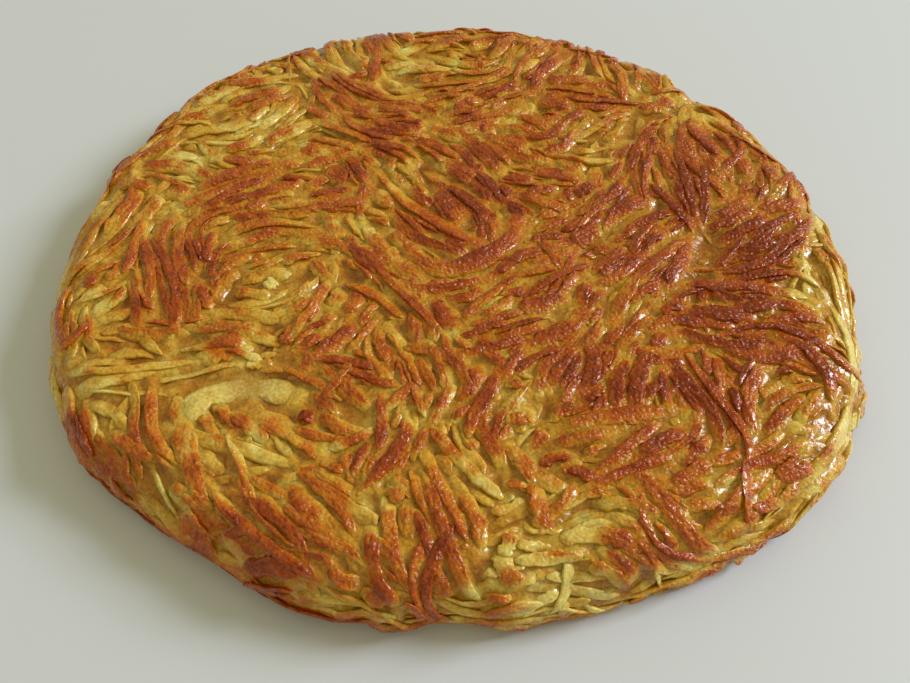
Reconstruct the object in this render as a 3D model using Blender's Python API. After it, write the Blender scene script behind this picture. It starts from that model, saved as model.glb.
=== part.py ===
"""Potato rosti: one round cake of coarsely grated potato, pressed flat and fried on both faces.

The cake is one solid. Its skin is drawn as a flat round map, and then wrapped over the cake:
the middle of the map is the top face, and its outer band turns over the shoulder, runs down
the side and tucks in under the base. Metres, +Z up, origin at the middle of the base.
"""

import math
import random

import bmesh
import bpy
from mathutils import Vector

# Driving dimensions
MEAN_RADIUS = 0.1150  # the outline, averaged over its lobes and bites
HEIGHT = 0.0210  # from the plate to the pan-pressed top
WIDEST_HEIGHT = 0.0070  # where the side bulges furthest out
SHOULDER_REACH = 0.0150  # how far in from the outline the top starts to fall
BASE_REACH = 0.0040  # how far the side tucks in under the widest line

# The map of the skin
TOP_RINGS = 30  # rings of triangles on the top face
SIDE_RINGS = 7  # bands from the top face's edge to the base's edge
TOP_REACH = MEAN_RADIUS - SHOULDER_REACH
SIDE_REACH = 0.0300  # the side's length from the top face to the base, along the skin

# The relief that the grated potato leaves
RIDGE_HEIGHT = 0.0017
RIDGE_SPACING = 0.0092
GROOVE_DEPTH = 0.0012  # between two handfuls
GROOVE_WIDTH = 0.0050
SEED = 7

# The slow wave of the top: its depth, and how far apart its crests lie each way
SAG_DEPTH = 0.0006
SAG_LENGTH_ACROSS = 0.165
SAG_LENGTH_AWAY = 0.200

# Slow waves of the outline: (waves round the cake, size, angle of the first crest in degrees)
OUTLINE_WAVES = (
    (2, 0.0033, -17.0),
    (3, 0.0017, -28.0),
    (4, 0.0010, 44.0),
    (5, 0.0006, -21.0),
    (6, 0.0008, 20.0),
)
# Lobes and bites of the edge: (angle, half width in degrees, how far it stands out)
EDGE_FEATURES = (
    (-26.0, 5.0, 0.0018),
    (-13.0, 5.0, -0.0014),
    (-2.0, 2.0, -0.0020),
    (41.0, 4.0, -0.0026),
    (47.0, 2.5, 0.0018),
    (77.0, 2.5, -0.0010),
    (156.0, 3.5, -0.0020),
    (163.0, 4.5, 0.0018),
    (204.0, 4.0, 0.0010),
    (214.0, 4.0, 0.0016),
    (224.0, 2.0, -0.0005),
    (236.0, 6.0, -0.0014),
    (252.0, 5.0, 0.0012),
    (262.0, 2.5, 0.0016),
    (268.0, 4.0, -0.0012),
    (280.0, 6.0, 0.0010),
    (283.0, 2.0, -0.0012),
    (289.0, 2.0, 0.0018),
)
# Handfuls of shreds that lie parallel: (across, away, direction in degrees), in millimetres
HANDFULS = (
    (-60, 92, 120), (-32, 98, 105), (-8, 92, 5), (-78, 66, 30), (-97, 46, 60),
    (-60, 50, 50), (-44, 70, 130), (-26, 46, -10), (-80, 34, -15), (-54, 32, 12),
    (-68, 16, 30), (-100, 6, 65), (-20, 22, 125), (-44, 6, 12), (26, 84, 62),
    (48, 88, 70), (64, 78, 110), (42, 64, -16), (46, 46, 50), (76, 60, 25),
    (96, 56, 128), (76, 30, 104), (58, 32, 76), (96, 30, 74), (44, 16, 56),
    (90, 6, 22), (24, 36, 140), (30, 22, 8), (8, 12, 112), (14, 62, 15),
    (-100, -14, 38), (-84, -14, 108), (-70, -20, 100), (-58, -14, 20), (-66, -34, -2),
    (-26, -12, 134), (-34, -30, 60), (-84, -46, 4), (-82, -70, 104), (-70, -74, 116),
    (-48, -72, 134), (-36, -90, 146), (-30, -58, 160), (-16, -62, 66), (-6, -40, 120),
    (-10, -92, 105), (26, -12, 28), (42, -24, 48), (12, -32, 25), (44, -50, 52),
    (14, -58, 58), (40, -72, 30), (64, -58, 106), (66, -78, 30), (4, -78, 120),
    (44, -90, 130), (76, -22, -5), (88, -42, -16), (84, -58, 36), (88, -74, 46),
    (108, -22, 92), (22, -96, 20), (62, -8, 40),
)
# Dips in the top: (across, away, radius, depth)
DIPS = (
    (0.072, -0.004, 0.011, 0.0024),
    (-0.044, 0.030, 0.010, 0.0012),
    (0.024, -0.100, 0.009, 0.0030),
    (-0.088, -0.062, 0.010, 0.0022),
    (0.020, -0.072, 0.012, 0.0014),
    (0.035, 0.008, 0.012, 0.0010),
)


def clear_scene():
    for thing in list(bpy.data.objects):
        bpy.data.objects.remove(thing)


def eased(share):
    """0 to 1, with a level start and end."""
    share = min(1.0, max(0.0, share))
    return share * share * (3.0 - 2.0 * share)


def turn_between(a, b):
    """The turn from angle b to angle a, in degrees, from -180 to 180."""
    return (a - b + 180.0) % 360.0 - 180.0


def outline_radius(angle):
    """The cake's widest radius at an angle in degrees."""
    radius = MEAN_RADIUS
    for waves, size, crest in OUTLINE_WAVES:
        radius += size * math.cos(math.radians(waves * (angle - crest)))
    for middle, half_width, out in EDGE_FEATURES:
        radius += out * math.exp(-((turn_between(angle, middle) / half_width) ** 2))
    return radius


def top_sag(place):
    """How far the top lies below its full height: a slow wave, and the dips."""
    across_wave = math.sin(2.0 * math.pi * place.x / SAG_LENGTH_ACROSS + 0.7)
    away_wave = math.cos(2.0 * math.pi * place.y / SAG_LENGTH_AWAY - 0.4)
    sag = SAG_DEPTH * (1.0 + across_wave * away_wave)
    for across, away, radius, depth in DIPS:
        gap = (place - Vector((across, away, 0.0))).length
        sag += depth * math.exp(-((gap / radius) ** 2))
    return sag


def make_handfuls():
    """(middle, unit vector along, spacing, bend) of each handful, with a little chance in each."""
    chance = random.Random(SEED)
    made = []
    for across, away, direction in HANDFULS:
        turn = math.radians(direction)
        along = Vector((math.cos(turn), math.sin(turn), 0.0))
        spacing = RIDGE_SPACING * chance.uniform(0.85, 1.2)
        bend = chance.uniform(-9.0, 9.0)
        made.append((Vector((across, away, 0.0)) / 1000.0, along, spacing, bend))
    return made


def relief(place, handfuls):
    """Height of the ropes of potato over a point of the map.

    The nearest handful lays ridges along its own direction, and a groove parts it from the next.
    """
    ranked = []
    for middle, along, spacing, bend in handfuls:
        step = place - middle
        forward = step.dot(along)
        sideways = along.x * step.y - along.y * step.x
        reach = math.hypot(forward / 1.3, sideways)
        ranked.append((reach, sideways + bend * forward * forward, spacing))
    ranked.sort()
    nearest, sideways, spacing = ranked[0]
    ridge = abs(math.cos(math.pi * sideways / spacing)) ** 0.8
    groove = 1.0 - eased((ranked[1][0] - nearest) / GROOVE_WIDTH)
    return RIDGE_HEIGHT * (ridge - 0.6) - GROOVE_DEPTH * groove


def wrap(place, handfuls):
    """Carries a point of the flat map onto the cake."""
    angle = math.atan2(place.y, place.x)
    outward = Vector((math.cos(angle), math.sin(angle), 0.0))
    outline = outline_radius(math.degrees(angle))
    down = max(0.0, place.length - TOP_REACH) / SIDE_REACH
    tilt = math.pi * (0.5 - min(1.0, down))
    reach = SHOULDER_REACH if tilt > 0.0 else BASE_REACH
    rise = HEIGHT - WIDEST_HEIGHT if tilt > 0.0 else WIDEST_HEIGHT
    if down > 0.0:
        radius = outline - reach + reach * math.cos(tilt)
    else:
        radius = place.length * (outline - SHOULDER_REACH) / TOP_REACH
    skin = outward * radius
    skin.z = WIDEST_HEIGHT + rise * math.sin(tilt)
    skin.z -= top_sag(place) * max(0.0, math.sin(tilt))
    faces_to = outward * math.cos(tilt)
    faces_to.z = math.sin(tilt)
    height = relief(place, handfuls) * eased(4.0 * (1.0 - down))
    return skin + faces_to * height


def flat_map():
    """The skin as a flat round mesh: a hexagon cut into rows of triangles, with bands round it."""
    mesh = bmesh.new()
    bmesh.ops.create_circle(mesh, cap_ends=True, cap_tris=True, segments=6, radius=1.0)
    bmesh.ops.subdivide_edges(
        mesh, edges=mesh.edges[:], cuts=TOP_RINGS - 1, use_grid_fill=True
    )
    for vert in mesh.verts:
        turn = math.atan2(vert.co.y, vert.co.x)
        from_side = (turn - math.radians(30.0)) % math.radians(60.0) - math.radians(30.0)
        hexagon_edge = math.cos(math.radians(30.0)) / math.cos(from_side)
        vert.co *= TOP_REACH / hexagon_edge
    rim = [edge for edge in mesh.edges if edge.is_boundary]
    for band in range(SIDE_RINGS):
        grown = bmesh.ops.extrude_edge_only(mesh, edges=rim)["geom"]
        radius = TOP_REACH + SIDE_REACH * (band + 1) / SIDE_RINGS
        for vert in grown:
            if isinstance(vert, bmesh.types.BMVert):
                vert.co = vert.co.normalized() * radius
        rim = [edge for edge in grown if isinstance(edge, bmesh.types.BMEdge) and edge.is_boundary]
    bmesh.ops.edgeloop_fill(mesh, edges=rim)
    return mesh


def set_on_origin(mesh):
    """Moves the cake so that the middle of its extents, at its lowest point, is the origin."""
    low = Vector([min(vert.co[axis] for vert in mesh.verts) for axis in range(3)])
    high = Vector([max(vert.co[axis] for vert in mesh.verts) for axis in range(3)])
    middle = (low + high) / 2.0
    middle.z = low.z
    for vert in mesh.verts:
        vert.co -= middle


def potato_material():
    """Fried potato: golden, a little oily."""
    made = bpy.data.materials.new("fried_potato")
    made.use_nodes = True
    shader = made.node_tree.nodes["Principled BSDF"]
    shader.inputs["Base Color"].default_value = (0.40, 0.16, 0.03, 1.0)
    shader.inputs["Roughness"].default_value = 0.45
    shader.inputs["Metallic"].default_value = 0.0
    made.diffuse_color = (0.40, 0.16, 0.03, 1.0)
    return made


def make_rosti():
    mesh = flat_map()
    handfuls = make_handfuls()
    for vert in mesh.verts:
        vert.co = wrap(vert.co, handfuls)
    set_on_origin(mesh)
    bmesh.ops.recalc_face_normals(mesh, faces=mesh.faces)
    if mesh.calc_volume(signed=True) < 0.0:
        bmesh.ops.reverse_faces(mesh, faces=mesh.faces)
    data = bpy.data.meshes.new("potato_rosti")
    mesh.to_mesh(data)
    mesh.free()
    data.materials.append(potato_material())
    data.shade_smooth()
    data.set_sharp_from_angle(angle=math.radians(50.0))
    rosti = bpy.data.objects.new("potato_rosti", data)
    bpy.context.scene.collection.objects.link(rosti)
    return rosti


clear_scene()
make_rosti()
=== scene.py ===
# %% [markdown]
# # Potato rosti
# A rosti is coarsely grated potato, pressed into a hot pan and fried until both faces are crisp.
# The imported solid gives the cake's place, outline and thickness. It could be dressed with a
# painted skin, but the shreds would lose their shadows and their ends. So it is dressed with what
# a cook sees: real shreds lying in handfuls, browned where they touched the pan, and pale glossy
# potato in the hollows between them.

# %% Load the frame
import math

import bpy
import numpy as np
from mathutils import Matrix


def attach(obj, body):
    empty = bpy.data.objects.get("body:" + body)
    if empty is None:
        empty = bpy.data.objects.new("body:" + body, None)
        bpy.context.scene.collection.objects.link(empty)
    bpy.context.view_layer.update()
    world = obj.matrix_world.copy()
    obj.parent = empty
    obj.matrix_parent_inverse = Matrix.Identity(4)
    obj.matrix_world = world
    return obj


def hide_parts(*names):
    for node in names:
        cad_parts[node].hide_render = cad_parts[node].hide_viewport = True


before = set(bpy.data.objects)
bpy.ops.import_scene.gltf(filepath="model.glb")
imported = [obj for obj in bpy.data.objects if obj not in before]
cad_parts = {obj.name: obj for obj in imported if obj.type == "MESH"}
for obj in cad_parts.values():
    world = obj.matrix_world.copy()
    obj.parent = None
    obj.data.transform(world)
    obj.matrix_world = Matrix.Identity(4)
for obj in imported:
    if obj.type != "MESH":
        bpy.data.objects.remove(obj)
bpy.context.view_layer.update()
NODE = "potato_rosti"
MM = 0.001
chance = np.random.default_rng(11)

# %% [markdown]
# ## The cake as a skin
# Shreds are easiest to lay on a flat table. They could be laid straight on the round cake, but
# then every step along a shred would need a search for the surface below it. So the cake's
# surface is unrolled into a flat round map: the middle of the map is the top face, and its outer
# band is the shoulder, the side and the start of the underside. What is laid on the map is
# wrapped back over the cake at the end. The outline and the top's slow dips are measured on the
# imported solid, so the dressing fits it.

# %% Measure the outline
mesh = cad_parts[NODE].data
solid = np.empty(len(mesh.vertices) * 3)
mesh.vertices.foreach_get("co", solid)
solid = solid.reshape(-1, 3)

WIDEST_HEIGHT = 7.0 * MM  # where the side bulges furthest out
SHOULDER_REACH = 15.0 * MM  # how far in from the outline the top starts to fall
BASE_REACH = 4.0 * MM  # how far the side tucks in under the widest line
OUTLINE_STEPS = 144
OUTLINE_INSET = 0.4 * MM  # keeps the dressing just inside the solid

turn = np.arctan2(solid[:, 1], solid[:, 0])
sector = np.floor(turn / (2 * np.pi) * OUTLINE_STEPS).astype(int) % OUTLINE_STEPS
ring = np.zeros(OUTLINE_STEPS)
np.maximum.at(ring, sector, np.hypot(solid[:, 0], solid[:, 1]))
RING_TURNS = (np.arange(OUTLINE_STEPS) + 0.5) * 2 * np.pi / OUTLINE_STEPS


def outline(turn):
    """The cake's widest radius at an angle: the furthest point of the solid in each 2.5 degree
    sector, joined up and drawn in a little."""
    return np.interp(turn, RING_TURNS, ring, period=2 * np.pi) - OUTLINE_INSET


print("outline", round(ring.min() / MM, 1), "to", round(ring.max() / MM, 1), "mm from the middle")


# %% Measure the top
TOP_STEP = 2.5 * MM
TOP_HALF = 52  # grid steps from the middle of the top's map to its edge
TOP_SHARE = 0.7  # what lies above this share of the height is the top
TOP_BLUR = 1.8  # grid steps
TINY = 1e-9
USUAL_TOP = 20.0 * MM  # used where the solid has no point near by
CREST = 0.75 * MM  # how far the crests stand above the solid's middle height


def blur(values, spread):
    """Each value becomes the average of its neighbours, weighted by a bell curve. spread is in
    grid steps."""
    reach = int(3 * spread) + 1
    bell = np.exp(-0.5 * (np.arange(-reach, reach + 1) / spread) ** 2)
    bell /= bell.sum()
    padded = np.pad(values, reach, mode="edge")
    rows = sum(weight * padded[:, k:k + values.shape[1]] for k, weight in enumerate(bell))
    return sum(weight * rows[k:k + values.shape[0]] for k, weight in enumerate(bell))


top_points = solid[solid[:, 2] > TOP_SHARE * solid[:, 2].max()]
top_turn = np.arctan2(top_points[:, 1], top_points[:, 0])
top_radius = np.hypot(top_points[:, 0], top_points[:, 1])
top_points = top_points[top_radius < outline(top_turn) - SHOULDER_REACH]
cell = np.round(top_points[:, :2] / TOP_STEP).astype(int) + TOP_HALF
heights = np.zeros((2 * TOP_HALF + 1, 2 * TOP_HALF + 1))
counts = np.zeros_like(heights)
np.add.at(heights, (cell[:, 1], cell[:, 0]), top_points[:, 2])
np.add.at(counts, (cell[:, 1], cell[:, 0]), 1.0)
top_map = (blur(heights, TOP_BLUR) + TINY * USUAL_TOP) / (blur(counts, TOP_BLUR) + TINY) + CREST
print("top between", round(top_map.min() / MM, 2), "and", round(top_map.max() / MM, 2), "mm")


# %% Reading a grid between its cells
def sample(grid, column, row):
    """Reads a grid between its cells: the four nearest values, weighted by nearness."""
    column = np.clip(column, 0, grid.shape[1] - 1.001)
    row = np.clip(row, 0, grid.shape[0] - 1.001)
    left, low = column.astype(int), row.astype(int)
    right_share, high_share = column - left, row - low
    lower = grid[low, left] * (1 - right_share) + grid[low, left + 1] * right_share
    upper = grid[low + 1, left] * (1 - right_share) + grid[low + 1, left + 1] * right_share
    return lower * (1 - high_share) + upper * high_share


def top_height(across, away):
    """How high the top is over a place, read from its map."""
    return sample(top_map, across / TOP_STEP + TOP_HALF, away / TOP_STEP + TOP_HALF)


# %% [markdown]
# ## Wrapping the map
# A fried cake has a rounded shoulder, a bulging side and a narrow foot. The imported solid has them
# too, but its points are too few to wrap shreds over. So the side is worked out again as two
# quarter ellipses, a wide one over the shoulder and a narrow one under the widest line, and then
# the skin runs in under the cake. The side is measured along its own length, so a shred keeps its
# length when it hangs over the edge.

# %% The side's profile
MEAN_HEIGHT = float(np.median(top_map))
PROFILE_STEPS = 361
tilts = np.linspace(np.pi / 2, -np.pi / 2, PROFILE_STEPS)
reaches = np.where(tilts > 0, SHOULDER_REACH, BASE_REACH)
rises = np.where(tilts > 0, MEAN_HEIGHT - WIDEST_HEIGHT, WIDEST_HEIGHT)
profile_out = SHOULDER_REACH - reaches + reaches * np.cos(tilts)
profile_up = WIDEST_HEIGHT + rises * np.sin(tilts)
profile_run = np.concatenate([[0.0], np.cumsum(np.hypot(np.diff(profile_out), np.diff(profile_up)))])
facing_out = np.cos(tilts) / reaches
facing_up = np.sin(tilts) / rises
facing_size = np.hypot(facing_out, facing_up)
facing_out, facing_up = facing_out / facing_size, facing_up / facing_size
SIDE_RUN = float(profile_run[-1])


def skin(u, v):
    """Point and outward direction on the cake for a point of the map: straight up on the top face,
    along the side's profile beyond it, and straight down on the underside."""
    turn = np.arctan2(v, u)
    distance = np.hypot(u, v)
    flat = outline(turn) - SHOULDER_REACH
    run = distance - flat
    out = np.interp(run, profile_run, profile_out)
    up = np.interp(run, profile_run, profile_up)
    level = np.interp(run, profile_run, facing_out)
    rise = np.interp(run, profile_run, facing_up)
    radius = np.where(run < 0, distance, flat + out) - np.maximum(run - SIDE_RUN, 0.0)
    across, away = radius * np.cos(turn), radius * np.sin(turn)
    topness = np.clip((up - WIDEST_HEIGHT) / (MEAN_HEIGHT - WIDEST_HEIGHT), 0.0, 1.0)
    up = up + topness * (top_height(across, away) - MEAN_HEIGHT)
    place = np.stack([across, away, up], axis=-1)
    facing = np.stack([level * np.cos(turn), level * np.sin(turn), rise], axis=-1)
    return place, facing


UNDER_DROP = 0.27 * MM  # the map lies this far under the plate, so that it flattens more


def underside(u, v):
    """The same for a map of the underside: a flat face that looks straight down."""
    place = np.stack([u, v, np.full_like(u, -UNDER_DROP)], axis=-1)
    facing = np.zeros_like(place)
    facing[..., 2] = -1.0
    return place, facing


print("side length", round(SIDE_RUN / MM, 1), "mm")

# %% [markdown]
# ## Handfuls
# The cook drops potato into the pan a handful at a time, and the shreds of a handful lie more or
# less parallel. Shreds thrown at random would look like noodles, and shreds combed one way like
# hair. So each row below is one handful: where it landed, which way its shreds point, and how
# brown its corner of the pan made it, from 0 to 1. Between the rows the directions are blended.

# %% Handfuls and their browning
HANDFULS = np.array([  # across and away in mm, direction in degrees, browning
    (-60, 92, 120, 0.50), (-32, 98, 105, 0.35), (-8, 92, 5, 0.35), (-78, 66, 30, 0.55),
    (-97, 46, 60, 0.42), (-60, 50, 50, 0.48), (-44, 70, 130, 0.48), (-26, 46, -10, 0.65),
    (-80, 34, -15, 0.40), (-54, 32, 12, 0.55), (-68, 16, 30, 0.60), (-100, 6, 65, 0.38),
    (-20, 22, 125, 0.60), (-44, 6, 12, 0.58), (26, 84, 62, 0.60), (48, 88, 70, 0.60),
    (64, 78, 110, 0.45), (42, 64, -16, 0.70), (46, 46, 50, 0.40), (76, 60, 25, 0.55),
    (96, 56, 128, 0.50), (76, 30, 104, 0.90), (58, 32, 76, 0.60), (96, 30, 74, 0.68),
    (44, 16, 56, 0.70), (90, 6, 22, 0.84), (24, 36, 140, 0.65), (30, 22, 8, 0.85),
    (8, 12, 112, 0.90), (14, 62, 15, 0.60), (-100, -14, 38, 0.40), (-84, -14, 108, 0.70),
    (-70, -20, 100, 0.70), (-58, -14, 20, 0.35), (-66, -34, -2, 0.52), (-26, -12, 134, 0.55),
    (-34, -30, 60, 0.50), (-84, -46, 4, 0.28), (-82, -70, 104, 0.40), (-70, -74, 116, 0.38),
    (-48, -72, 134, 0.40), (-36, -90, 146, 0.58), (-30, -58, 160, 0.60), (-16, -62, 66, 0.55),
    (-6, -40, 120, 0.55), (-10, -92, 105, 0.60), (26, -12, 28, 0.76), (42, -24, 48, 0.64),
    (12, -32, 25, 0.60), (44, -50, 52, 0.88), (14, -58, 58, 0.60), (40, -72, 30, 0.82),
    (64, -58, 106, 0.86), (66, -78, 30, 0.70), (4, -78, 120, 0.40), (44, -90, 130, 0.65),
    (76, -22, -5, 1.0), (88, -42, -16, 0.92), (84, -58, 36, 0.52), (88, -74, 46, 0.40),
    (108, -22, 92, 0.34), (22, -96, 20, 0.20), (62, -8, 40, 0.95),
    # and those that hang over the side, where the shreds lie along the edge
    (121, 0, 92, 0.40), (114, 41, 112, 0.45), (93, 78, 132, 0.45), (60, 105, 152, 0.40),
    (21, 119, 172, 0.40), (-21, 119, 8, 0.40), (-60, 105, 28, 0.40), (-93, 78, 48, 0.40),
    (-114, 41, 62, 0.45), (-121, 0, 75, 0.45), (-114, -41, 112, 0.50), (-93, -78, 122, 0.70),
    (-60, -105, 142, 0.75), (-21, -119, 172, 0.70), (21, -119, 8, 0.35), (60, -105, 30, 0.50),
    (93, -78, 54, 0.45), (114, -41, 74, 0.40),
])
handful_u, handful_v = HANDFULS[:, 0] * MM, HANDFULS[:, 1] * MM
handful_turn = np.radians(HANDFULS[:, 2])
handful_brown = HANDFULS[:, 3]
HANDFUL_MIX = 5.5 * MM  # how softly one handful runs into the next
print(len(HANDFULS), "handfuls")


# %% Blending the handfuls
def handful_shares(u, v):
    """How much each handful counts at a point: a bell curve of its distance, less the nearest one's."""
    gap = (u[..., None] - handful_u) ** 2 + (v[..., None] - handful_v) ** 2
    share = np.exp(-(gap - gap.min(-1, keepdims=True)) / (2 * HANDFUL_MIX ** 2))
    return share / share.sum(-1, keepdims=True)


def handful_direction(u, v):
    """The handfuls' directions, averaged as double angles, because a shred has no front or back."""
    share = handful_shares(u, v)
    return 0.5 * np.arctan2((share * np.sin(2 * handful_turn)).sum(-1),
                            (share * np.cos(2 * handful_turn)).sum(-1))


PATCH_HALF = 120  # cells of a random patch grid, from its middle to its edge


def patches(u, v, size, seed):
    """Soft random patches from 0 to 1: random values on a coarse grid, read between its cells."""
    cells = np.random.default_rng(seed).random((2 * PATCH_HALF, 2 * PATCH_HALF))
    return sample(cells, u / size + PATCH_HALF, v / size + PATCH_HALF)


def eased(share):
    """From 0 to 1 with a level start and end."""
    share = np.clip(share, 0.0, 1.0)
    return share * share * (3 - 2 * share)


# %% [markdown]
# ## Where the cake met the pan
# Potato browns only where it touches hot iron. A wet, uneven cake touches it in islands: whole
# handfuls lie a millimetre off the pan on a cushion of steam, and those stay yellow. Brown spots
# painted by noise alone would ignore the shreds. So one field gives the heat of the pan, and
# another how far the cake stayed off it, and both are read where each shred lies.

# %% The heat of the pan
WIDE_PATCH = 9.0 * MM
NARROW_PATCH = 4.5 * MM
SMALL_PATCH = 2.4 * MM
# Each of these is a size, a seed and a swing
HEAT_PATCHES = ((WIDE_PATCH, 3, 0.70), (NARROW_PATCH, 4, 0.70), (SMALL_PATCH, 8, 0.30))
HEAT_GAIN = 1.45  # widens the range of the handfuls' browning
HEAT_LESS = 0.24  # taken off after the gain
PALE_SIDE = 0.35  # how much browning the side lacks, and where down the side that is
PALE_SIDE_RUN = 18.0 * MM
PALE_SIDE_WIDTH = 5.0 * MM
FRIED_EDGE = 0.35  # the thin lower edge fried against the pan, after the cake was turned
FRIED_EDGE_RUN = 25.5 * MM
FRIED_EDGE_WIDTH = 2.5 * MM


def side_run(u, v):
    """How far down the side a point of the map is: 0 at the edge of the top face, and below 0 on it."""
    return np.hypot(u, v) - outline(np.arctan2(v, u)) + SHOULDER_REACH


def heat(u, v):
    """The handfuls' browning, blended, plus wide, narrow and small random patches. A band down the
    side is paler, by a bell curve, and the thin lower edge is browner."""
    value = (handful_shares(u, v) * HEAT_GAIN * handful_brown).sum(-1) - HEAT_LESS
    for size, seed, swing in HEAT_PATCHES:
        value = value + swing * (patches(u, v, size, seed) - 0.5)
    run = side_run(u, v)
    value = value - PALE_SIDE * np.exp(-((run - PALE_SIDE_RUN) / PALE_SIDE_WIDTH) ** 2)
    return value + FRIED_EDGE * eased((run - FRIED_EDGE_RUN) / FRIED_EDGE_WIDTH)


# %% How far the potato stayed off the pan
LIFT_MOST = 0.9 * MM
LIFTED_HEAT = 0.1  # at this heat and below, the potato is lifted in full
LIFT_RANGE = 0.4  # and this much hotter, it lies on the pan
GROOVE_DEPTH = 0.7 * MM
GROOVE_WIDTH = 4.0 * MM
PITS = np.array([  # across, away, radius and depth of the holes between handfuls, in mm
    (72, -4, 4.5, 2.0), (30, -72, 3.5, 1.6), (-12, -92, 3.0, 1.6), (-50, -52, 5.0, 1.2),
    (-88, 10, 4.0, 1.0), (-64, -24, 3.0, 1.3), (28, -106, 3.0, 1.0), (46, 2, 3.0, 1.2),
    (-46, 14, 3.5, 1.2), (18, 30, 3.0, 1.0), (-38, 84, 3.5, 1.0), (52, 30, 3.0, 1.2),
    (-30, -18, 3.0, 1.0), (66, -70, 3.0, 1.2), (-86, -60, 3.5, 1.2),
]) * MM


def lift(u, v):
    """How far the potato stayed off the pan: most where it was cool, and more in the grooves, where
    two handfuls are equally near, and in the pits, each a bell."""
    cool = 1 - eased((heat(u, v) - LIFTED_HEAT) / LIFT_RANGE)
    gap = np.sqrt((u[..., None] - handful_u) ** 2 + (v[..., None] - handful_v) ** 2)
    nearest = np.partition(gap, 1, axis=-1)
    groove = 1 - eased((nearest[..., 1] - nearest[..., 0]) / GROOVE_WIDTH)
    pit = sum(deep * np.exp(-((u - across) ** 2 + (v - away) ** 2) / radius ** 2)
              for across, away, radius, deep in PITS)
    return LIFT_MOST * cool + GROOVE_DEPTH * groove * patches(u, v, WIDE_PATCH, 6) + pit


# %% [markdown]
# ## Maps of what has been laid
# In the pan each shred lands on those before it. A physics run could drop two thousand of them,
# but it would be slow and hard to steer. So grids over the flat map follow the work. One holds how
# deep the potato reaches so far, counted down from the pan. Another holds the face that an eye
# meets first, and a third whose face it is.

# %% The maps
CELL = 0.5 * MM
HALF = 290  # cells from the middle of a map to its edge
grid_line = (np.arange(2 * HALF + 1) - HALF) * CELL
map_u, map_v = np.meshgrid(grid_line, grid_line)
OPEN_DEPTH = 6.0 * MM  # where nothing has been laid yet


def read_map(values, u, v):
    """A map's values at points of the flat map."""
    return sample(values, u / CELL + HALF, v / CELL + HALF)


def new_maps():
    """Fresh grids: how deep it is filled, the depth that is seen, and the number of the shred that
    is seen."""
    return {"filled": lift(map_u, map_v), "seen": np.full_like(map_u, OPEN_DEPTH),
            "owner": np.full(map_u.shape, -1)}


print("maps of", 2 * HALF + 1, "x", 2 * HALF + 1, "cells")

# %% [markdown]
# ## Drawing a shred's centre line
# A grated shred is straight when it is raw and bends a little once it is soft. A curve object for
# each would be easy to draw, but slow to make two thousand times. So all lines are walked at once
# as arrays. From its middle, a shred runs both ways along the local direction of its handful, and
# it keeps the angle by which it lay askew.

# %% Centre lines
STEPS = 11  # points along a shred
ALONG = np.linspace(-1, 1, STEPS)
TIGHTEST = 12 * MM  # a shred's tightest bend, as a radius


def centre_lines(u, v, askew, bend, length):
    """Points along each shred: half of its length is walked each way from its middle, in equal
    steps along the handful's direction, turned by the askew angle and by bend times the distance
    walked."""
    half = STEPS // 2
    points = np.empty((len(u), STEPS, 2))
    points[:, half, 0], points[:, half, 1] = u, v
    stride = length / (STEPS - 1)
    first = handful_direction(u, v)
    for way in (1, -1):
        at_u, at_v, before = u.copy(), v.copy(), first.copy()
        for step in range(1, half + 1):
            turned = (handful_direction(at_u, at_v) - before + np.pi / 2) % np.pi - np.pi / 2
            now = before + np.clip(turned, -stride / TIGHTEST, stride / TIGHTEST)
            heading = now + askew + bend * stride * step * way
            at_u = at_u + way * stride * np.cos(heading)
            at_v = at_v + way * stride * np.sin(heading)
            points[:, half + way * step, 0] = at_u
            points[:, half + way * step, 1] = at_v
            before = now
    return points


# %% [markdown]
# ## Cutting the grated potato
# A coarse grater gives shreds 2 to 5 mm wide and half as thick, some long and many broken short.
# Copies of a few modelled shreds would soon be recognised. So each is drawn at random, with a
# fixed seed, and the cake is the same each time. For every shred a few places are drawn, and the
# one to use is chosen when it is laid.

# %% Where shreds may lie
CRUMBLY = (22 * MM, -99 * MM, 7 * MM)  # across, away and spread of a broken spot at the front
RIM_BAND = (3 * MM, 21 * MM)  # how far down the side the loose bits of the rim lie
EDGE_PULL = 0.1  # how far a shred still reaches past the edge of its map


def middles(where, far, size):
    """Random places on the map: evenly all over it, or evenly round the rim, or by a bell curve
    round one spot. far gives how far out the map goes at an angle."""
    if where == "crumbly":
        across, away, spread = CRUMBLY
        return chance.normal(across, spread, size), chance.normal(away, spread, size)
    turn = chance.uniform(0, 2 * np.pi, size)
    near, beyond = 0.0, far(turn)
    if where == "rim":
        flat = outline(turn) - SHOULDER_REACH
        near, beyond = flat + RIM_BAND[0], flat + RIM_BAND[1]
    distance = np.sqrt(near ** 2 + chance.random(size) * (beyond ** 2 - near ** 2))
    return distance * np.cos(turn), distance * np.sin(turn)


def kept_within(lines, far):
    """Points past the edge of the map are pulled back almost to it, so a shred bends along the edge."""
    distance = np.hypot(lines[..., 0], lines[..., 1])
    edge = far(np.arctan2(lines[..., 1], lines[..., 0]))
    within = np.where(distance > edge, edge + EDGE_PULL * (distance - edge), distance)
    return lines * (within / np.maximum(distance, TINY))[..., None]


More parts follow.
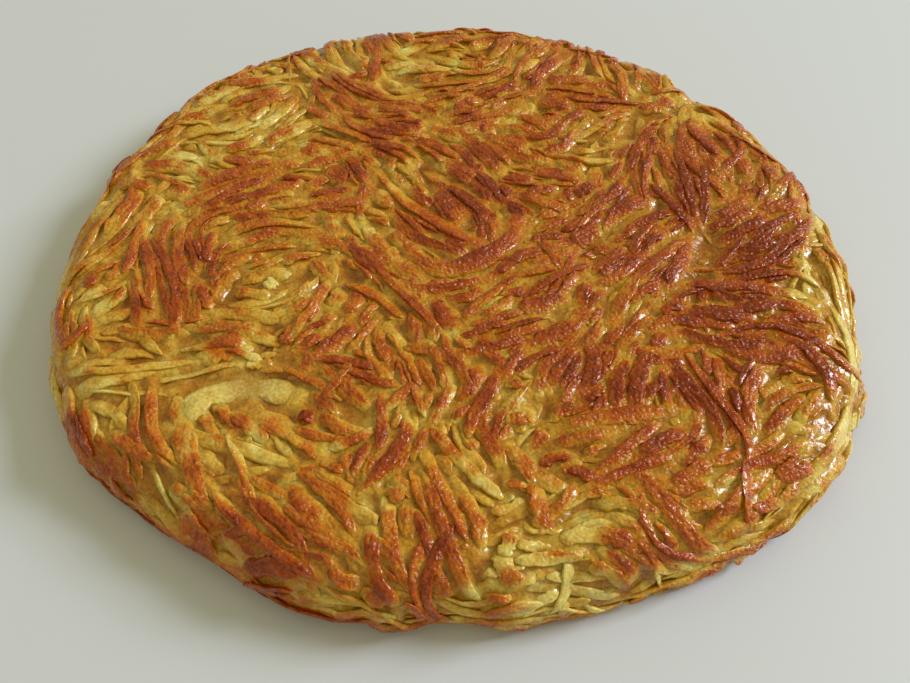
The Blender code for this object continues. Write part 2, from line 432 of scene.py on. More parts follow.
# %% Drawing the shreds at random
CHOICES = 5
WIDTHS = (0.28, 1.4, 6.0)  # how much they vary, as a share, and the least and most in mm
LENGTHS = (0.42, 3.5, 44.0)
THICKNESS_SHARE = (0.42, 0.66)  # of the width
THINNEST, THICKEST = 1.1 * MM, 2.3 * MM
STRAY_SHARE = 0.03
STRAY_TURN = 80.0  # degrees
BEND = 22.0  # radians in a metre
RIM_START = 75 * MM
RIM_WIDTH = 25 * MM
RIM_LONGER = 0.7  # out at the rim the shreds stay whole
ROLL = 0.28  # how far shreds lie tipped to one side, as a slope
TWIST = 0.15  # and how much that changes along them
CRISPNESS = (0.7, 1.1)
TONES = (-0.24, 0.24)
PROUD = 0.6 * MM  # how far a loose shred stands off the side
PROUD_SHARE = (-0.3, 1.0)


def varied(middle, spread, least, most, count):
    """Sizes from mm to metres: e to the power of a bell curve round the middle's logarithm, kept
    between the least and the most."""
    return np.exp(chance.normal(np.log(middle), spread, count)).clip(least, most) * MM


def grate(count, where, far, width_middle, length_middle, wild):
    """A batch of shreds, each with its width, thickness, length and a few possible centre lines.
    wild is how far they lie askew, in degrees."""
    width = varied(width_middle, *WIDTHS, count)
    thickness = (width * chance.uniform(*THICKNESS_SHARE, count)).clip(THINNEST, THICKEST)
    length = varied(length_middle, *LENGTHS, count)
    u, v = middles(where, far, (count, CHOICES))
    askew = np.radians(chance.normal(0.0, wild, (count, CHOICES)))
    stray = chance.random((count, 1)) < STRAY_SHARE
    askew = askew + stray * np.radians(chance.uniform(-STRAY_TURN, STRAY_TURN, (count, CHOICES)))
    bend = chance.normal(0.0, BEND, (count, CHOICES))
    lengths = length[:, None] * (1 + RIM_LONGER * eased((np.hypot(u, v) - RIM_START) / RIM_WIDTH))
    lines = centre_lines(u.ravel(), v.ravel(), askew.ravel(), bend.ravel(), lengths.ravel())
    lines = kept_within(lines, far)
    roll = chance.normal(0.0, ROLL, (count, 1)) + chance.normal(0.0, TWIST, (count, 1)) * ALONG
    crispness = chance.uniform(*CRISPNESS, count)
    tone = chance.uniform(*TONES, count)
    return {"width": width, "thickness": thickness, "length": length,
            "choices": lines.reshape(count, CHOICES, STEPS, 2), "roll": roll,
            "crispness": crispness, "tone": tone, "sunk": np.zeros(count),
            "proud": PROUD * chance.uniform(*PROUD_SHARE, count)}


# %% The few that are given one by one
HAND_LAID = np.array([  # three points, width and depth in mm, then crispness and tone
    (-70, -64, -58, -53, -40, -56, 7.5, 0.6, 0.40, 0.34),  # a wide pale slice
    (-104, -48, -87, -48, -68, -45, 2.8, 0.0, 1.10, -0.10),
    (-88, -2, -78, -20, -76, -38, 3.4, 0.0, 1.20, 0.0),
    (-12, -62, -14, -72, -23, -84, 3.6, 0.0, 1.10, 0.10),
    (-19, -56, -18, -65, -19, -73, 3.0, 0.0, 1.20, 0.0),
    (-6, -66, 2, -76, 11, -85, 3.4, 0.1, 0.95, 0.15),
    (1, -84, 5, -90, 6, -99, 4.2, 0.2, 0.85, 0.10),
    (88, -38, 95, -46, 97, -60, 3.6, 0.0, 1.10, -0.10),
    (104, -22, 108, -38, 104, -56, 4.4, 0.5, 0.40, 0.40),
    (70, 38, 71, 22, 72, 6, 3.2, 0.0, 1.15, -0.10),
    (77, 30, 76, 18, 73, 4, 3.0, 0.2, 1.20, 0.0),
    (60, 22, 66, 12, 71, 2, 3.0, 0.2, 1.10, 0.0),
    (92, 6, 84, 2, 76, -3, 3.4, 0.3, 0.90, 0.10),
])

HAND_THICKNESS = 0.55  # of the width
HAND_THINNEST, HAND_THICKEST = 1.2 * MM, 2.4 * MM
HAND_ROLL = 0.08


def hand_laid(rows):
    """Shreds through three given points each, along the parabola that meets them, in the form that
    grate gives."""
    share = np.linspace(0, 1, STEPS)
    corners = rows[:, :6].reshape(-1, 3, 2) * MM
    pull = np.stack([(1 - share) * (1 - 2 * share), 4 * share * (1 - share), share * (2 * share - 1)])
    lines = np.einsum("kpc,ps->ksc", corners, pull)
    width, count = rows[:, 6] * MM, len(rows)
    return {"width": width, "thickness": (HAND_THICKNESS * width).clip(HAND_THINNEST, HAND_THICKEST),
            "length": np.linalg.norm(np.diff(lines, axis=1), axis=-1).sum(-1),
            "choices": lines[:, None], "roll": np.full((count, STEPS), HAND_ROLL),
            "crispness": rows[:, 8], "tone": rows[:, 9], "sunk": rows[:, 7] * MM,
            "proud": np.zeros(count)}


print(len(HAND_LAID), "shreds laid by hand")

# %% [markdown]
# ## Laying the shreds
# The face that is on top now was the one against the pan, so the shreds are laid in that order:
# the first ones touch the pan, and each later one lies on what is there already, draped over it
# as far as a limp shred can. Laid from the plate upwards instead, the top would come out ragged,
# and a fried top is flat, because the pan was.

# %% Draping
STEEPEST = 0.45  # how steeply a limp shred can run over another
SMOOTHINGS = 2


def drape(depth, stride):
    """The shallowest run of depths that clears what is there, with no slope over the steepest, then
    smoothed."""
    run = depth.copy()
    for step in range(1, depth.shape[-1]):
        fall = STEEPEST * stride * step
        run[..., step:] = np.maximum(run[..., step:], depth[..., :-step] - fall)
        run[..., :-step] = np.maximum(run[..., :-step], depth[..., step:] - fall)
    for _ in range(SMOOTHINGS):
        padded = np.pad(run, [(0, 0)] * (run.ndim - 1) + [(1, 1)], mode="edge")
        run = 0.25 * padded[..., :-2] + 0.5 * padded[..., 1:-1] + 0.25 * padded[..., 2:]
    return run


# %% How a shred comes to rest
EDGE_SHARE = 0.36  # where across its width a shred feels what is under it
UNDERCUT = 0.2  # an edge feels at most this share of the width less than the middle does
MOST_LEAN = 0.5


def directions(line):
    """Along a line, the unit vectors to its left, and the steps from point to point."""
    ahead = np.gradient(line, axis=0)
    stride = np.hypot(ahead[:, 0], ahead[:, 1])
    return np.stack([-ahead[:, 1], ahead[:, 0]], -1) / stride[:, None], stride


def settle(filled, line, side, stride, width):
    """The depth at which a shred rests on what is there, and how much deeper its left edge lies
    than its right. It feels three places across its width, and is draped over them."""
    across = np.array([-EDGE_SHARE, 0.0, EDGE_SHARE])[:, None] * width
    felt = read_map(filled, line[:, 0] + across * side[:, 0], line[:, 1] + across * side[:, 1])
    felt = np.maximum(felt, felt[1] - UNDERCUT * width)
    right, middle, left = drape(felt, float(stride.mean()))
    lean = np.clip((left - right) / (2 * EDGE_SHARE), -MOST_LEAN * width, MOST_LEAN * width)
    return np.maximum(middle, 0.5 * (right + left)), lean


# %% Writing a shred into the maps
SECTION_POWER = 2.7  # 2 would be an ellipse, and more is boxier
SQUEEZE = 0.5  # share of its thickness that a shred keeps under the others' weight
PAST_END = 0.7  # how far past its last point a shred reaches, in steps


def section_drop(share):
    """How far a shred's rounded face falls away towards its edges, from 0 in the middle to 1 at
    the edge."""
    return 1.0 - (1.0 - np.minimum(np.abs(share), 1.0) ** SECTION_POWER) ** (1 / SECTION_POWER)


def write_shred(maps, number, line, side, stride, width, thickness, edges):
    """Each cell near a shred takes the nearest point of its line. How far it lies to the side of
    that gives the depth of the shred's face there, and of its far side."""
    low_cell = np.maximum(((line.min(0) - width) / CELL + HALF).astype(int), 0)
    high_cell = np.minimum(((line.max(0) + width) / CELL + HALF).astype(int) + 2, 2 * HALF + 1)
    window = np.s_[low_cell[1]:high_cell[1], low_cell[0]:high_cell[0]]
    gap_u = map_u[window][..., None] - line[:, 0]
    gap_v = map_v[window][..., None] - line[:, 1]
    nearest = (gap_u ** 2 + gap_v ** 2).argmin(-1)
    gap_u = np.take_along_axis(gap_u, nearest[..., None], -1)[..., 0]
    gap_v = np.take_along_axis(gap_v, nearest[..., None], -1)[..., 0]
    share = (gap_u * side[nearest, 0] + gap_v * side[nearest, 1]) / (0.5 * width)
    along = np.abs(gap_u * side[nearest, 1] - gap_v * side[nearest, 0])
    covered = (np.abs(share) < 1) & (along < PAST_END * stride.mean())
    drop = section_drop(share) * 0.5 * thickness
    face = edges[0, nearest] * (0.5 - 0.5 * share) + edges[1, nearest] * (0.5 + 0.5 * share)
    face = np.maximum(face, 0.0)
    far_side = face + SQUEEZE * (thickness - drop)
    face = face + drop
    filled, seen, owner = (maps[key][window] for key in ("filled", "seen", "owner"))
    filled[...] = np.where(covered, np.maximum(filled, far_side), filled)
    shows = covered & (face < seen)
    seen[...] = np.where(shows, face, seen)
    owner[...] = np.where(shows, number, owner)


# %% Laying
def lay_shreds(batch, maps, pull, first_number):
    """Lays a batch one by one, each at the emptiest and hottest of its places. Adds to the batch
    the chosen lines, and the depth of each shred's face along its right and left edges."""
    choices, width, thickness = batch["choices"], batch["width"], batch["thickness"]
    middle_step = choices[:, :, STEPS // 2]
    wanted = pull * heat(middle_step[..., 0], middle_step[..., 1])
    batch["line"] = np.empty((len(width), STEPS, 2))
    batch["edges"] = np.empty((len(width), 2, STEPS))
    for k in range(len(width)):
        fill = read_map(maps["filled"], choices[k, :, :, 0], choices[k, :, :, 1])
        line = choices[k, (fill.mean(-1) - wanted[k]).argmin()]
        side, stride = directions(line)
        middle, lean = settle(maps["filled"], line, side, stride, width[k])
        middle = middle + batch["sunk"][k]
        lean = lean + batch["roll"][k] * width[k]
        edges = np.stack([middle - 0.5 * lean, middle + 0.5 * lean])
        write_shred(maps, first_number + k, line, side, stride, width[k], thickness[k], edges)
        batch["line"][k] = line
        batch["edges"][k] = edges


# %% Laying in layers
COATED = 0.6  # starch coats the deeper shreds, so their tones differ less
COATED_DEPTH = 0.3  # mm
LOOSE = 2.2  # the bits at the rim stand this much further off


def lay_layers(layers, far, first):
    """Lays the first batch, then one for each layer, none of it shallower than the layer's least
    depth, and joins the batches. Returns them and the maps."""
    maps = new_maps()
    on_map = np.hypot(map_u, map_v) < far(np.arctan2(map_v, map_u))
    lay_shreds(first, maps, 0.0, 0)
    batches = [first]
    laid = len(first["width"])
    for count, where, least_depth, width_middle, length_middle, wild, pull in layers:
        maps["filled"] = np.maximum(maps["filled"], least_depth * MM)
        batch = grate(count, where, far, width_middle, length_middle, wild)
        batch["tone"] *= 1.0 if least_depth < COATED_DEPTH else COATED
        batch["proud"] *= LOOSE if where == "rim" else 1.0
        lay_shreds(batch, maps, pull * MM, laid)
        laid += count
        batches.append(batch)
        cover = float((maps["owner"][on_map] >= 0).mean())
        print("laid", laid, "shreds, which cover", round(cover, 2), "of the map")
    kept = [key for key in first if key != "choices"]
    return {key: np.concatenate([batch[key] for batch in batches]) for key in kept}, maps


# %% The shreds of both faces
LAYERS = (  # shreds, where, least depth, width and length in mm, degrees askew, pull of the heat in mm
    (26, "crumbly", 0.0, 3.3, 7.0, 38.0, 0.0),
    (60, "rim", 0.0, 3.2, 8.0, 28.0, 0.5),
    (640, "all", 0.0, 3.4, 16.0, 13.0, 1.0),
    (130, "all", 0.15, 3.2, 6.5, 26.0, 0.8),
    (720, "all", 0.4, 3.5, 16.0, 13.0, 0.3),
    (520, "all", 1.1, 4.0, 17.0, 16.0, 0.0),
)
UNDER_LAYERS = (
    (360, "all", 0.0, 3.4, 15.0, 13.0, 1.0),
    (300, "all", 0.6, 3.6, 16.0, 16.0, 0.0),
)

UNDER_INSET = 1.0 * MM  # how far the underside's map stays inside the base


def map_edge(turn):
    """How far out the upper map goes: to the bottom of the side."""
    return outline(turn) - SHOULDER_REACH + SIDE_RUN


def base_edge(turn):
    """How far out the underside's map goes."""
    return outline(turn) - BASE_REACH - UNDER_INSET


shreds, maps = lay_layers(LAYERS, map_edge, hand_laid(HAND_LAID))
under_shreds, under_maps = lay_layers(UNDER_LAYERS, base_edge, hand_laid(HAND_LAID[:0]))

# %% [markdown]
# ## From centre lines to shreds
# A grated shred is a soft bar with ragged edges and a rounded section. A curve with a bevel would
# give it a round, even tube. So each shred is swept along its line as rings of points. All of the
# bars are worked out at once, as one array of rings, and then wrapped over the cake. The pan
# flattens every crest that would stand past it.

# %% The section of a shred
SECTION_TURNS = np.radians([-8, 28, 56, 124, 152, 188, 270])  # most points on the side that shows
SIDES = len(SECTION_TURNS)


def filled_out(wave):
    """A sine or cosine made boxier: its size to the power of 2 over the section's power."""
    return np.sign(wave) * np.abs(wave) ** (2 / SECTION_POWER)


section_across = filled_out(np.cos(SECTION_TURNS))
section_up = filled_out(np.sin(SECTION_TURNS))
print("each shred has", STEPS, "rings of", SIDES, "points")

# %% How a shred varies along its length
BLUNT = (3.0, 14.0)  # from a long pointed end to a square one
END_INSET = 0.985  # the last ring lies this far along, so it keeps some width
WIDTH_TAPER = 0.45
HEIGHT_TAPER = 0.7
RAGGED = 0.55  # how much a shred's edges wander, from in to out, as a share of half its width
END_DIP = 0.8  # how far a free end hangs at most, in mm
DIP_START = 0.45  # from here on, as a share of half the length
DIP_POWER = 1.5
SAG = 0.5 * MM  # how far a limp shred dips between the places where the pan presses it
SAG_PHASES = (0.0, 6.3)
SAG_RATES = (3.0, 8.0)  # radians in half a length


def end_taper(count):
    """How wide each shred is along its length: 1 less the place to the power of its bluntness, and
    that to the power of the taper."""
    blunt = np.exp(chance.uniform(*np.log(BLUNT), (count, 1)))
    return (1 - np.abs(ALONG * END_INSET) ** blunt) ** WIDTH_TAPER


def edge_wander(count):
    """How far each edge of each shred wanders in or out, at random from ring to ring."""
    wander = 1 + RAGGED * (chance.random((count, STEPS, 2)) - 0.5)
    return np.where(section_across > 0, wander[..., :1], wander[..., 1:])


def dips(count):
    """How far each shred dips along its length: its ends by a power of the way past the start of
    the dip, and all of it by a sine."""
    dip = np.zeros((count, STEPS))
    for end in (-1, 1):
        sunk = chance.uniform(0.0, END_DIP, (count, 1)) * MM
        dip += sunk * np.clip((end * ALONG - DIP_START) / (1 - DIP_START), 0.0, 1.0) ** DIP_POWER
    phase = chance.uniform(*SAG_PHASES, (count, 1))
    rate = chance.uniform(*SAG_RATES, (count, 1))
    return dip + SAG * chance.random((count, 1)) * (0.5 + 0.5 * np.sin(rate * ALONG + phase))


# %% Sweeping the shreds
PRESS = 0.35 * MM  # how much of each crest the pan flattens
SOFTNESS = 0.08 * MM
LUMPS = 0.18 * MM
TIP_REACH = 0.25  # how far past the last ring the end point lies, in steps
PLATE_GAP = 0.02 * MM
FIBRE_PULL = 0.35  # the grain of a shred is about three times as long as it is wide


def press_flat(height):
    """Heights below the skin are raised by the press, and none of them past the skin, with a soft
    corner."""
    return -SOFTNESS * np.logaddexp(0.0, -(height + PRESS) / SOFTNESS)


def fibre_places(ahead, out, up):
    """Where each point lies in its shred, for the grain: along it, shortened, across it, and up
    from its middle plus a chance shift for each shred."""
    count = len(out)
    stride = np.linalg.norm(ahead, axis=-1).mean(-1)
    fibre = np.empty((count, STEPS, SIDES, 3))
    fibre[..., 0] = (FIBRE_PULL * stride[:, None] * np.arange(STEPS))[..., None]
    fibre[..., 1] = out
    fibre[..., 2] = up + chance.uniform(0.0, 1.0, (count, 1, 1))
    return np.concatenate([fibre.reshape(count, -1, 3), fibre[:, [0, -1]].mean(2)], 1)


def sweep(batch, wrap):
    """Rings of points round each line, in the shape of a rounded bar, closed by a point at each
    end. Returns the points on the flat map and on the cake, and their places in the grain."""
    line, edges, width, thickness = (batch[key] for key in ("line", "edges", "width", "thickness"))
    count = len(line)
    ahead = np.gradient(line, axis=1)
    side = np.stack([-ahead[..., 1], ahead[..., 0]], -1)
    side /= np.linalg.norm(side, axis=-1, keepdims=True)
    taper = end_taper(count)
    out = section_across * (0.5 * width[:, None] * taper)[..., None] * edge_wander(count)
    up = section_up * (0.5 * thickness[:, None] * taper ** HEIGHT_TAPER)[..., None]
    lean = (edges[:, 1] - edges[:, 0]) / width[:, None]
    distance = np.hypot(line[..., 0], line[..., 1])
    proud = batch["proud"][:, None] * eased((distance - RIM_START - RIM_WIDTH) / RIM_WIDTH)
    centre = proud - (0.5 * (edges[:, 0] + edges[:, 1]) + 0.5 * thickness[:, None] + dips(count))
    height = centre[..., None] - lean[..., None] * out + up
    lumps = LUMPS * (chance.random((count, STEPS, SIDES)) - 0.5)
    points = np.empty((count, STEPS, SIDES, 3))
    points[..., 0] = line[:, :, None, 0] + out * side[:, :, None, 0]
    points[..., 1] = line[:, :, None, 1] + out * side[:, :, None, 1]
    points[..., 2] = press_flat(height - proud[..., None]) + proud[..., None] + lumps
    tips = points[:, [0, -1]].mean(2)
    tips[..., :2] += np.array([-1, 1])[None, :, None] * ahead[:, [0, -1]] * TIP_REACH
    flat_points = np.concatenate([points.reshape(count, -1, 3), tips], 1)
    place, facing = wrap(flat_points[..., 0], flat_points[..., 1])
    place = place + facing * flat_points[..., 2:]
    place[..., 2] = np.maximum(place[..., 2], PLATE_GAP)
    return flat_points, place, fibre_places(ahead, out, up)


# %% The faces of the bars
def bar_faces(count):
    """Faces of the bars: four corners between neighbouring rings, and triangles to the two end
    points."""
    ring, corner = np.meshgrid(np.arange(STEPS - 1), np.arange(SIDES), indexing="ij")
    following = (corner + 1) % SIDES
    quads = np.stack([ring * SIDES + corner, ring * SIDES + following,
                      (ring + 1) * SIDES + following, (ring + 1) * SIDES + corner], -1).reshape(-1, 4)
    corner = np.arange(SIDES)
    following = (corner + 1) % SIDES
    start, end = STEPS * SIDES, STEPS * SIDES + 1
    first = np.stack([np.full(SIDES, start), following, corner], -1)
    last_ring = (STEPS - 1) * SIDES
    last = np.stack([np.full(SIDES, end), last_ring + corner, last_ring + following], -1)
    offset = np.arange(count)[:, None, None] * (STEPS * SIDES + 2)
    return (quads + offset).reshape(-1, 4), (np.concatenate([first, last]) + offset).reshape(-1, 3)


# %% Turning arrays into a piece
def make_piece(name, points, quads, triangles, values):
    """One mesh object from arrays: points, four-cornered and three-cornered faces, and named values
    per point. Its faces start where the corners of those before them end."""
    data = bpy.data.meshes.new(name)
    corners = np.concatenate([quads.ravel(), triangles.ravel()])
    sizes = np.concatenate([np.full(len(quads), 4), np.full(len(triangles), 3)])
    data.vertices.add(len(points))
    data.vertices.foreach_set("co", points.ravel().astype(np.float32))
    data.loops.add(len(corners))
    data.loops.foreach_set("vertex_index", corners.astype(np.int32))
    data.polygons.add(len(sizes))
    starts = np.concatenate([[0], np.cumsum(sizes)[:-1]])
    data.polygons.foreach_set("loop_start", starts.astype(np.int32))
    data.polygons.foreach_set("use_smooth", np.ones(len(sizes), bool))
    for label, numbers in values.items():
        vectors = label == "fibre"
        layer = data.attributes.new(label, "FLOAT_VECTOR" if vectors else "FLOAT", "POINT")
        layer.data.foreach_set("vector" if vectors else "value", numbers.ravel().astype(np.float32))
    data.update(calc_edges=True)
    data.validate()
    piece = bpy.data.objects.new(name, data)
    bpy.context.scene.collection.objects.link(piece)
    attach(piece, "root")
    print(name, len(points), "points,", 2 * len(quads) + len(triangles), "triangles")
    return piece


# %% [markdown]
# ## How brown each point is
# Browning fades out within a millimetre of the pan: the flats are brown, and a shred's flanks
# are yellow again. A painted picture could show that, but it would have to fit every shred. So the
# browning is worked out at each point from its depth, and kept in the mesh for the material to
# read. Down the side of the cake nothing touched the pan, apart from the thin lower edge, which
# fried when the cake was turned.

# %% Browning
CONTACT = 0.30 * MM  # the depth at which contact has fallen to half
CONTACT_EDGE = 0.36 * MM
CONTACT_MOST = 1.08
STANDING = 0.3  # how much of its height over its surroundings a point is counted shallower by
HALO_DEPTH = 1.0 * MM
HALO = 0.44
COOL_BROWNING = 0.15  # the share of the browning that comes without heat
MOST_BROWN = 1.3
NEAR_DEPTH = 2.5 * MM
NEAR_BLUR = 2.5  # grid steps


def surroundings(face_maps):
    """The depth of what is seen, averaged over about a shred's width."""
    return blur(np.minimum(face_maps["seen"], NEAR_DEPTH), NEAR_BLUR)


def browning(u, v, depth, near, crispness):
    """Heat times contact. Contact falls to 0 over about a millimetre of depth, and what stands
    above its surroundings counts as shallower. Where the pan was hot, a halo of browning reaches
    further down."""
    pressed = (1 + STANDING) * depth - STANDING * near
    contact = CONTACT_MOST / (1 + np.exp((pressed - CONTACT) / CONTACT_EDGE))
    hot = heat(u, v)
    halo = HALO * hot * np.exp(-((0.5 * depth + 0.5 * near) / HALO_DEPTH) ** 2)
    reached = COOL_BROWNING + (1 - COOL_BROWNING) * hot
    return np.clip(reached * np.maximum(contact * crispness, halo), 0.0, MOST_BROWN)


# %% Hollows: pooled oil and painted shade, and tone
# below this depth the gel is multiplied towards amber: pooled oil, and painted shade of the hollows
HOLLOW_OIL_AND_SHADE_START = 1.3 * MM
HOLLOW_OIL_AND_SHADE_RANGE = 1.9 * MM
STAND = 0.6 * MM  # where potato stands this far above its surroundings it is as pale as it gets
# painted light and shade: raised potato is made paler and lower potato darker, besides thinness
RAISED_LIGHT_AND_SHADE = 0.15
TONE_SWING = 0.5
TOASTED = 0.46  # how much darker the starch is where the pan was hot
MILD = 0.4  # the heat at which it is neither darker nor paler
SHRED_TONE = 0.58
CORE_TONE = 0.48


def hollow_oil_and_shade(depth):
    """Pooled oil and painted shade in the hollows: 0 down to where they start, and rising evenly to 1 over
    their range.
    """
    return np.clip((depth - HOLLOW_OIL_AND_SHADE_START) / HOLLOW_OIL_AND_SHADE_RANGE, 0.0, 1.0)


def potato_values(u, v, depth, near, crispness, tone):
    """The three numbers that the material reads at each point. Potato standing above its surroundings
    is thin and paler, lower potato darker, which is also painted light and shade of the relief; where
    the pan was hot the starch is darker too. A wide random patch and the piece's own tone are added."""
    stands = np.clip((near - depth) / STAND, -1.0, 1.0)
    swing = TONE_SWING * (patches(u, v, WIDE_PATCH, 9) - 0.5)
    # painted light and shade: the tone rises where potato stands up and falls where it lies lower
    tone = tone + RAISED_LIGHT_AND_SHADE * stands + swing - TOASTED * (heat(u, v) - MILD)
    brown = browning(u, v, depth - PRESS, near, crispness)
    # the third number is the hollows' mask of pooled oil and painted shade
    return {"browning": brown, "hollow_oil_and_shade": hollow_oil_and_shade(depth), "tone": tone}


def shred_values(flat_points, near_depth, batch):
    """Each shred has its own crispness and tone, and its points lie at their own depths."""
    crispness, tone = batch["crispness"][:, None], SHRED_TONE + batch["tone"][:, None]
    u, v = flat_points[..., 0], flat_points[..., 1]
    depth = np.maximum(-flat_points[..., 2], 0.0)
    return potato_values(u, v, depth, read_map(near_depth, u, v), crispness, tone)


# %% Keep what shows
LEAST_SEEN = 0.14  # shreds of which less than this share can be seen are left out
PIECE_SHREDS = 760


def make_shred_pieces(name, batch, maps, wrap):
    """Sweeps the shreds that can be seen, and joins them in pieces of a few hundred. A shred's face
    is counted in cells, against its width times its length."""
    cells_seen = np.bincount(maps["owner"][maps["owner"] >= 0], minlength=len(batch["width"]))
    shows = cells_seen * CELL ** 2 > LEAST_SEEN * batch["width"] * batch["length"]
    kept = np.nonzero(shows)[0]
    print(name, len(kept), "of", len(batch["width"]), "shreds can be seen")
    near_depth = surroundings(maps)
    made = []
    for start in range(0, len(kept), PIECE_SHREDS):
        part = {key: values[kept[start:start + PIECE_SHREDS]] for key, values in batch.items()}
        flat_points, points, fibre = sweep(part, wrap)
        quads, triangles = bar_faces(len(points))
        values = shred_values(flat_points, near_depth, part)
        values["fibre"] = fibre
        label = f"{name}_{len(made) + 1}"
        made.append(make_piece(label, points.reshape(-1, 3), quads, triangles, values))
    return made


pieces = make_shred_pieces("shreds", shreds, maps, skin)
pieces += make_shred_pieces("under_shreds", under_shreds, under_maps, underside)

# %% [markdown]
# ## The core
# Between the shreds lies soft potato and its starch, which sets to a clear yellow jelly. A smooth
# block inside would leave black gaps between the shreds. So the core is one closed surface that
# drowns the deeper shreds and climbs a little at the flanks of the upper ones. It stands in for
# the whole inside of the cake.

# %% A round net of even triangles
def round_net(rings):
    """A disc of rings of points, six more points on each ring than on the last, joined by
    triangles. Returns each point's share of the radius and its turn, and the triangles."""
    shares, turns, triangles = [np.zeros(1)], [np.zeros(1)], []
    start = [0]
    for ring_number in range(1, rings + 1):
        count = 6 * ring_number
        start.append(start[-1] + max(1, count - 6))
        shares.append(np.full(count, ring_number / rings))
        turns.append(np.arange(count) * 2 * np.pi / count)
        side, step = np.divmod(np.arange(count), ring_number)
        inner_count = max(1, count - 6)
        outer = start[-1] + np.arange(count)
        outer_next = start[-1] + (np.arange(count) + 1) % count
        inner = start[-2] + (side * (ring_number - 1) + step) % inner_count
        triangles.append(np.stack([inner, outer, outer_next], -1))
        again = step < ring_number - 1
        inner_next = start[-2] + (side * (ring_number - 1) + step + 1) % inner_count
        triangles.append(np.stack([inner, outer_next, inner_next], -1)[again])
    return np.concatenate(shares), np.concatenate(turns), np.concatenate(triangles)


# %% Fusing
FUSE_REACH = 2  # grid steps; grooves narrower than twice this close up
BRIDGED = 0.40  # how far they close
OPEN_GROOVES = 0.6  # how much less in places
OPEN_START = 0.6
OPEN_RANGE = 0.2
CLIMBED = 0.45  # how far the starch climbs where the pan was hot
HOT = 0.40
HOT_RANGE = 0.35


def spread_out(values, pick, reach):
    """Each value becomes the smallest or largest of its neighbours, up to reach steps away each way."""
    for axis in (0, 1):
        values = pick.reduce([np.roll(values, step, axis) for step in range(-reach, reach + 1)])
    return values


def fused(depth_map):
    """Starch bridges the narrow grooves, and where the pan was hot it also climbs to the shreds'
    faces, so that the crust becomes one plate."""
    climbed = spread_out(depth_map, np.minimum, FUSE_REACH)
    bridged = spread_out(climbed, np.maximum, FUSE_REACH)
    hot = eased((heat(map_u, map_v) - HOT) / HOT_RANGE)
    open_patches = patches(map_u, map_v, NARROW_PATCH, 10)
    open_groove = OPEN_GROOVES * eased((open_patches - OPEN_START) / OPEN_RANGE)
    depth_map = depth_map + (BRIDGED - open_groove) * (bridged - depth_map)
    return depth_map + CLIMBED * hot * (climbed - depth_map)


# %% The faces of the core
CORE_DEPTH = 1.8 * MM  # it follows the shreds down to here
CORE_BLUR = 1.2  # grid steps
CORE_SINK = 0.52 * MM
CORE_LOW = 0.15 * MM  # how much deeper it lies in places
LOW_PATCH = 6 * MM
LOW_GAIN, LOW_LESS = 1.6, 0.3
CORE_LUMPS = 0.25 * MM
LUMP_PATCH = 1.8 * MM
TONE_BLUR = 1.2  # the drowned shreds keep their own tones, with soft borders
CORE_CRISPNESS = 0.85
NET_RINGS = 160  # rings of the upper net; the lower net has half as many


def core_depth(seen):
    """The fused, blurred depth of what is seen, a little deeper, with low places and soft lumps,
    and always below the shreds' flats."""
    depth_map = blur(fused(np.minimum(seen, CORE_DEPTH)), CORE_BLUR) + CORE_SINK
    low = eased(LOW_GAIN * patches(map_u, map_v, LOW_PATCH, 12) - LOW_LESS)
    depth_map = depth_map + CORE_LOW * low
    depth_map = depth_map + CORE_LUMPS * (patches(map_u, map_v, LUMP_PATCH, 5) - 0.5)
    return np.maximum(depth_map, PRESS)


def core_face(net, radius, wrap, face_maps, batch):
    """One face of the core: a round net over the map, lowered to the core's depth."""
    share, turn, triangles = net
    u, v = share * radius(turn) * np.cos(turn), share * radius(turn) * np.sin(turn)
    depth = read_map(core_depth(face_maps["seen"]), u, v)
    near = read_map(surroundings(face_maps), u, v)
    owner = face_maps["owner"]
    tone_map = blur(np.where(owner >= 0, batch["tone"][owner], 0.0), TONE_BLUR)
    crisp_map = blur(np.where(owner >= 0, batch["crispness"][owner], CORE_CRISPNESS), TONE_BLUR)
    tone = CORE_TONE + read_map(tone_map, u, v)
    values = potato_values(u, v, depth, near, read_map(crisp_map, u, v), tone)
    place, facing = wrap(u, v)
    place = place - facing * depth[:, None]
    place[..., 2] = np.maximum(place[..., 2], PLATE_GAP)
    values["fibre"] = place
    return place, triangles, values


# %% The core
upper, upper_faces, upper_values = core_face(round_net(NET_RINGS), map_edge, skin, maps, shreds)
lower_net = round_net(NET_RINGS // 2)
lower, lower_faces, lower_values = core_face(lower_net, base_edge, underside, under_maps, under_shreds)
spokes = 6 * NET_RINGS  # the upper net's last ring has this many points, and the lower net's half
outer = len(upper) - spokes + np.arange(spokes)
outer_next = np.roll(outer, -1)
inner = len(upper) + len(lower) - spokes // 2 + np.arange(spokes // 2)
inner_next = np.roll(inner, -1)
nearest_inner = inner[(np.arange(spokes) + 1) // 2 % (spokes // 2)]
seam = np.concatenate([np.stack([outer_next, outer, nearest_inner], -1),
                       np.stack([outer[1::2], inner, inner_next], -1)])
points = np.concatenate([upper, lower])
triangles = np.concatenate([upper_faces, lower_faces[:, ::-1] + len(upper), seam])
core_values = {key: np.concatenate([upper_values[key], lower_values[key]]) for key in upper_values}
core = make_piece("potato_core", points, np.zeros((0, 4), int), triangles, core_values)
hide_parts(NODE)
pieces.append(core)

# %% [markdown]
# ## Fried potato as a material
# Soft potato full of starch is clear and deep: it looks pale yellow where it is thin, gold where it
# is thicker, and amber down in the hollows, where oil has pooled; that amber is also painted shade,
# which darkens the hollows in the colour. On top of that lies the crust, which runs from gold through
# orange to red-brown. It could be one picture wrapped over the cake, but it would blur close up. So
# noise gives the fine detail, and the numbers that the mesh carries say where it goes. Both looks are
# one node group, so the shreds and the core share them.

